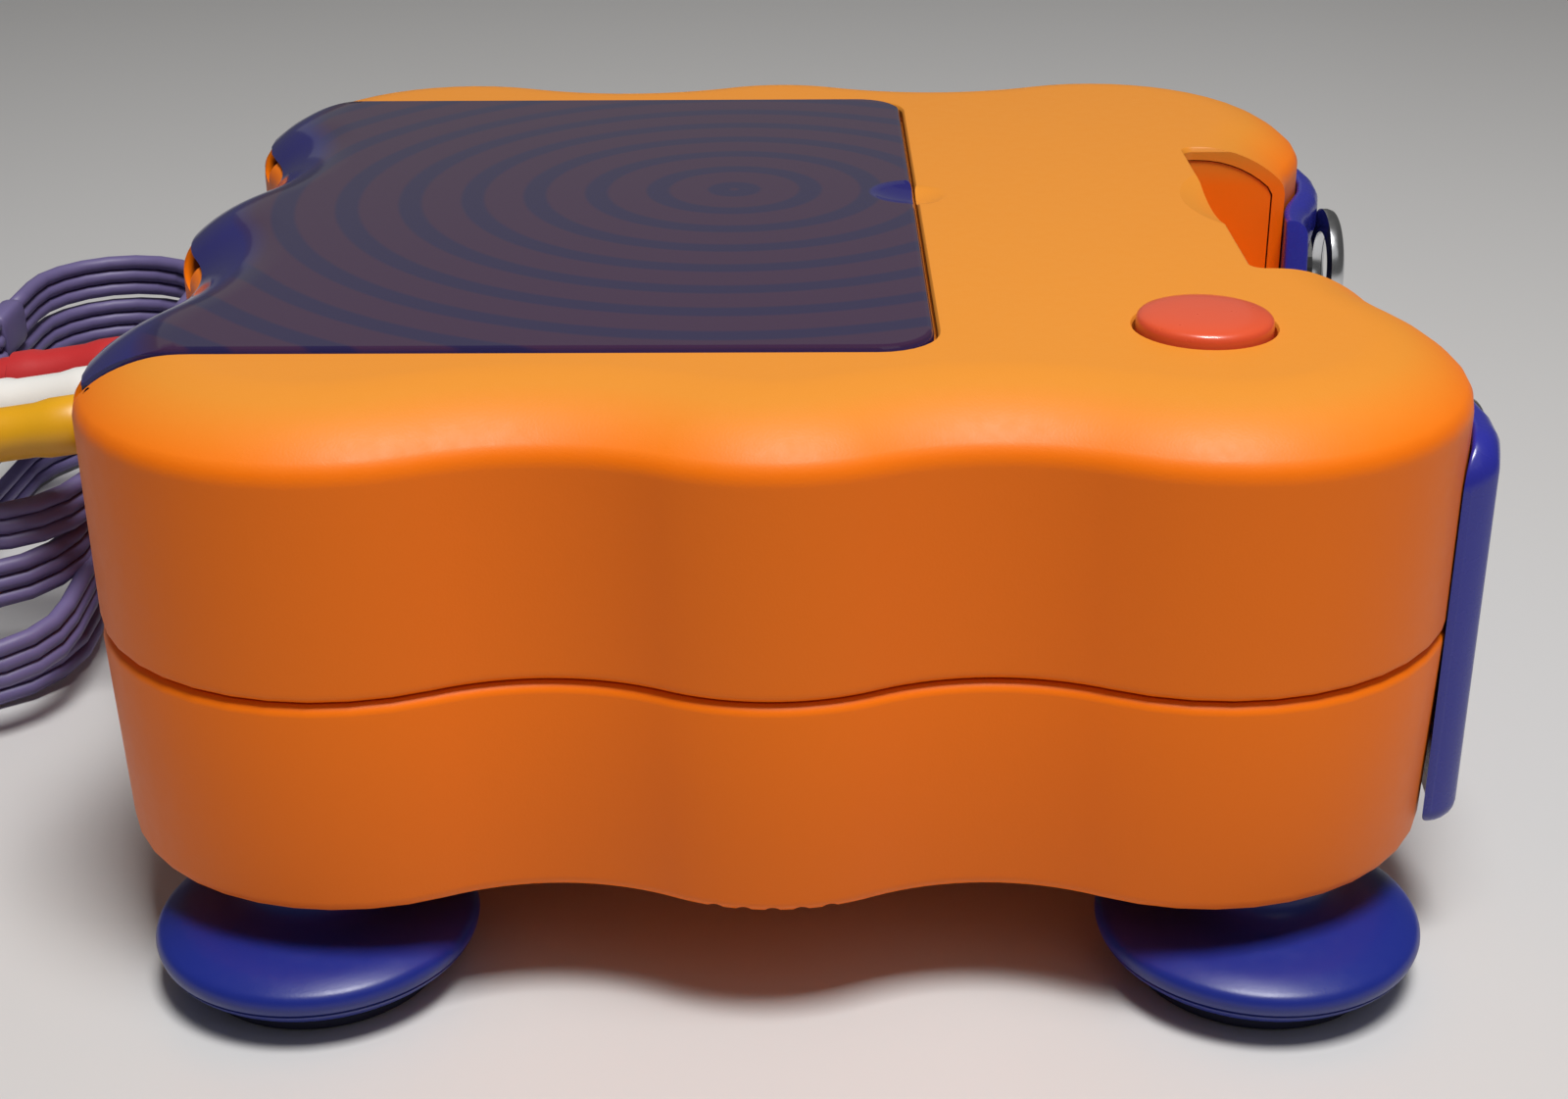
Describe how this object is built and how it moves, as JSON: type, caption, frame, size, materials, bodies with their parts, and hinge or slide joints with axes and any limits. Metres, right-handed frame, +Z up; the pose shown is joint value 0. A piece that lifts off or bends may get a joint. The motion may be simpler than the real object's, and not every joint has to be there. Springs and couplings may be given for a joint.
{
  "type": "television learning console",
  "caption": "Squat wavy-sided children's learning console with a hinged storage lid, cartridge well, push buttons, controller sockets, disc feet and a flat three-strand television lead.",
  "frame": {"origin": "middle of the console's footprint at table height, measured without the lead", "axes": "+Z up, front plate and sockets at -Y, rear wall and lead at +Y, restart button at -X"},
  "size_m": [0.2561, 0.3336, 0.1065],
  "materials": {
    "shell_orange": "fine satin grain",
    "lid_violet": "clear tinted gloss",
    "plate_blue": "gloss",
    "foot_blue": "satin gloss",
    "pad_rubber": "matte",
    "button_red": "gloss",
    "bezel_silver": "bright plated",
    "black_plastic": "matte",
    "board_green": "solder mask",
    "steel": "bright",
    "lead_purple": "soft satin",
    "plug_yellow": "satin",
    "plug_white": "satin",
    "plug_red": "satin"
  },
  "bodies": {
    "console": {"upper_shell": "shell_orange", "lower_shell": "shell_orange", "storage_tray": "shell_orange", "cartridge_well": "shell_orange", "battery_box": "shell_orange", "battery_door": "shell_orange", "front_plate": "plate_blue", "foot_front_left": "foot_blue", "foot_front_right": "foot_blue", "foot_rear_left": "foot_blue", "foot_rear_right": "foot_blue", "foot_pad_front_left": "pad_rubber", "foot_pad_front_right": "pad_rubber", "foot_pad_rear_left": "pad_rubber", "foot_pad_rear_right": "pad_rubber", "socket_bezel_left": "bezel_silver", "socket_bezel_right": "bezel_silver", "socket_left": "black_plastic", "socket_right": "black_plastic", "cartridge_connector": "black_plastic", "on_switch": "black_plastic", "off_switch": "black_plastic", "restart_switch": "black_plastic", "power_jack": "black_plastic", "main_board": "board_green", "front_switch_board": "board_green", "restart_switch_board": "board_green", "hinge_pin_left": "steel", "hinge_pin_right": "steel", "board_screw_1": "steel", "board_screw_2": "steel", "board_screw_3": "steel", "board_screw_4": "steel", "battery_contact_left": "steel", "battery_contact_right": "steel", "battery_door_screw": "steel", "lead_gland": "lead_purple", "av_lead": "lead_purple", "av_lead_loops": "lead_purple", "lead_split": "lead_purple", "lead_yellow": "lead_purple", "lead_white": "lead_purple", "lead_red": "lead_purple", "plug_yellow": "plug_yellow", "plug_white": "plug_white", "plug_red": "plug_red"},
    "lid": {"storage_lid": "lid_violet"},
    "restart": {"restart_button": "button_red"},
    "on": {"on_button": "button_red"},
    "off": {"off_button": "button_red"}
  },
  "joints": [
    {"name": "lid_hinge", "type": "hinge", "parent": "console", "child": "lid", "pos_m": [0, 0.10812, 0.0973], "axis": [-1, 0, 0], "range_deg": [0, 95]},
    {"name": "restart_press", "type": "slide", "parent": "console", "child": "restart", "axis": [0, 0, -1], "range_m": [0, 0.002], "stiffness_N_per_m": 400, "springref_m": -0.0005},
    {"name": "on_press", "type": "slide", "parent": "console", "child": "on", "axis": [0, 1, 0], "range_m": [0, 0.002], "stiffness_N_per_m": 400, "springref_m": -0.0005},
    {"name": "off_press", "type": "slide", "parent": "console", "child": "off", "axis": [0, 1, 0], "range_m": [0, 0.002], "stiffness_N_per_m": 400, "springref_m": -0.0005}
  ]
}
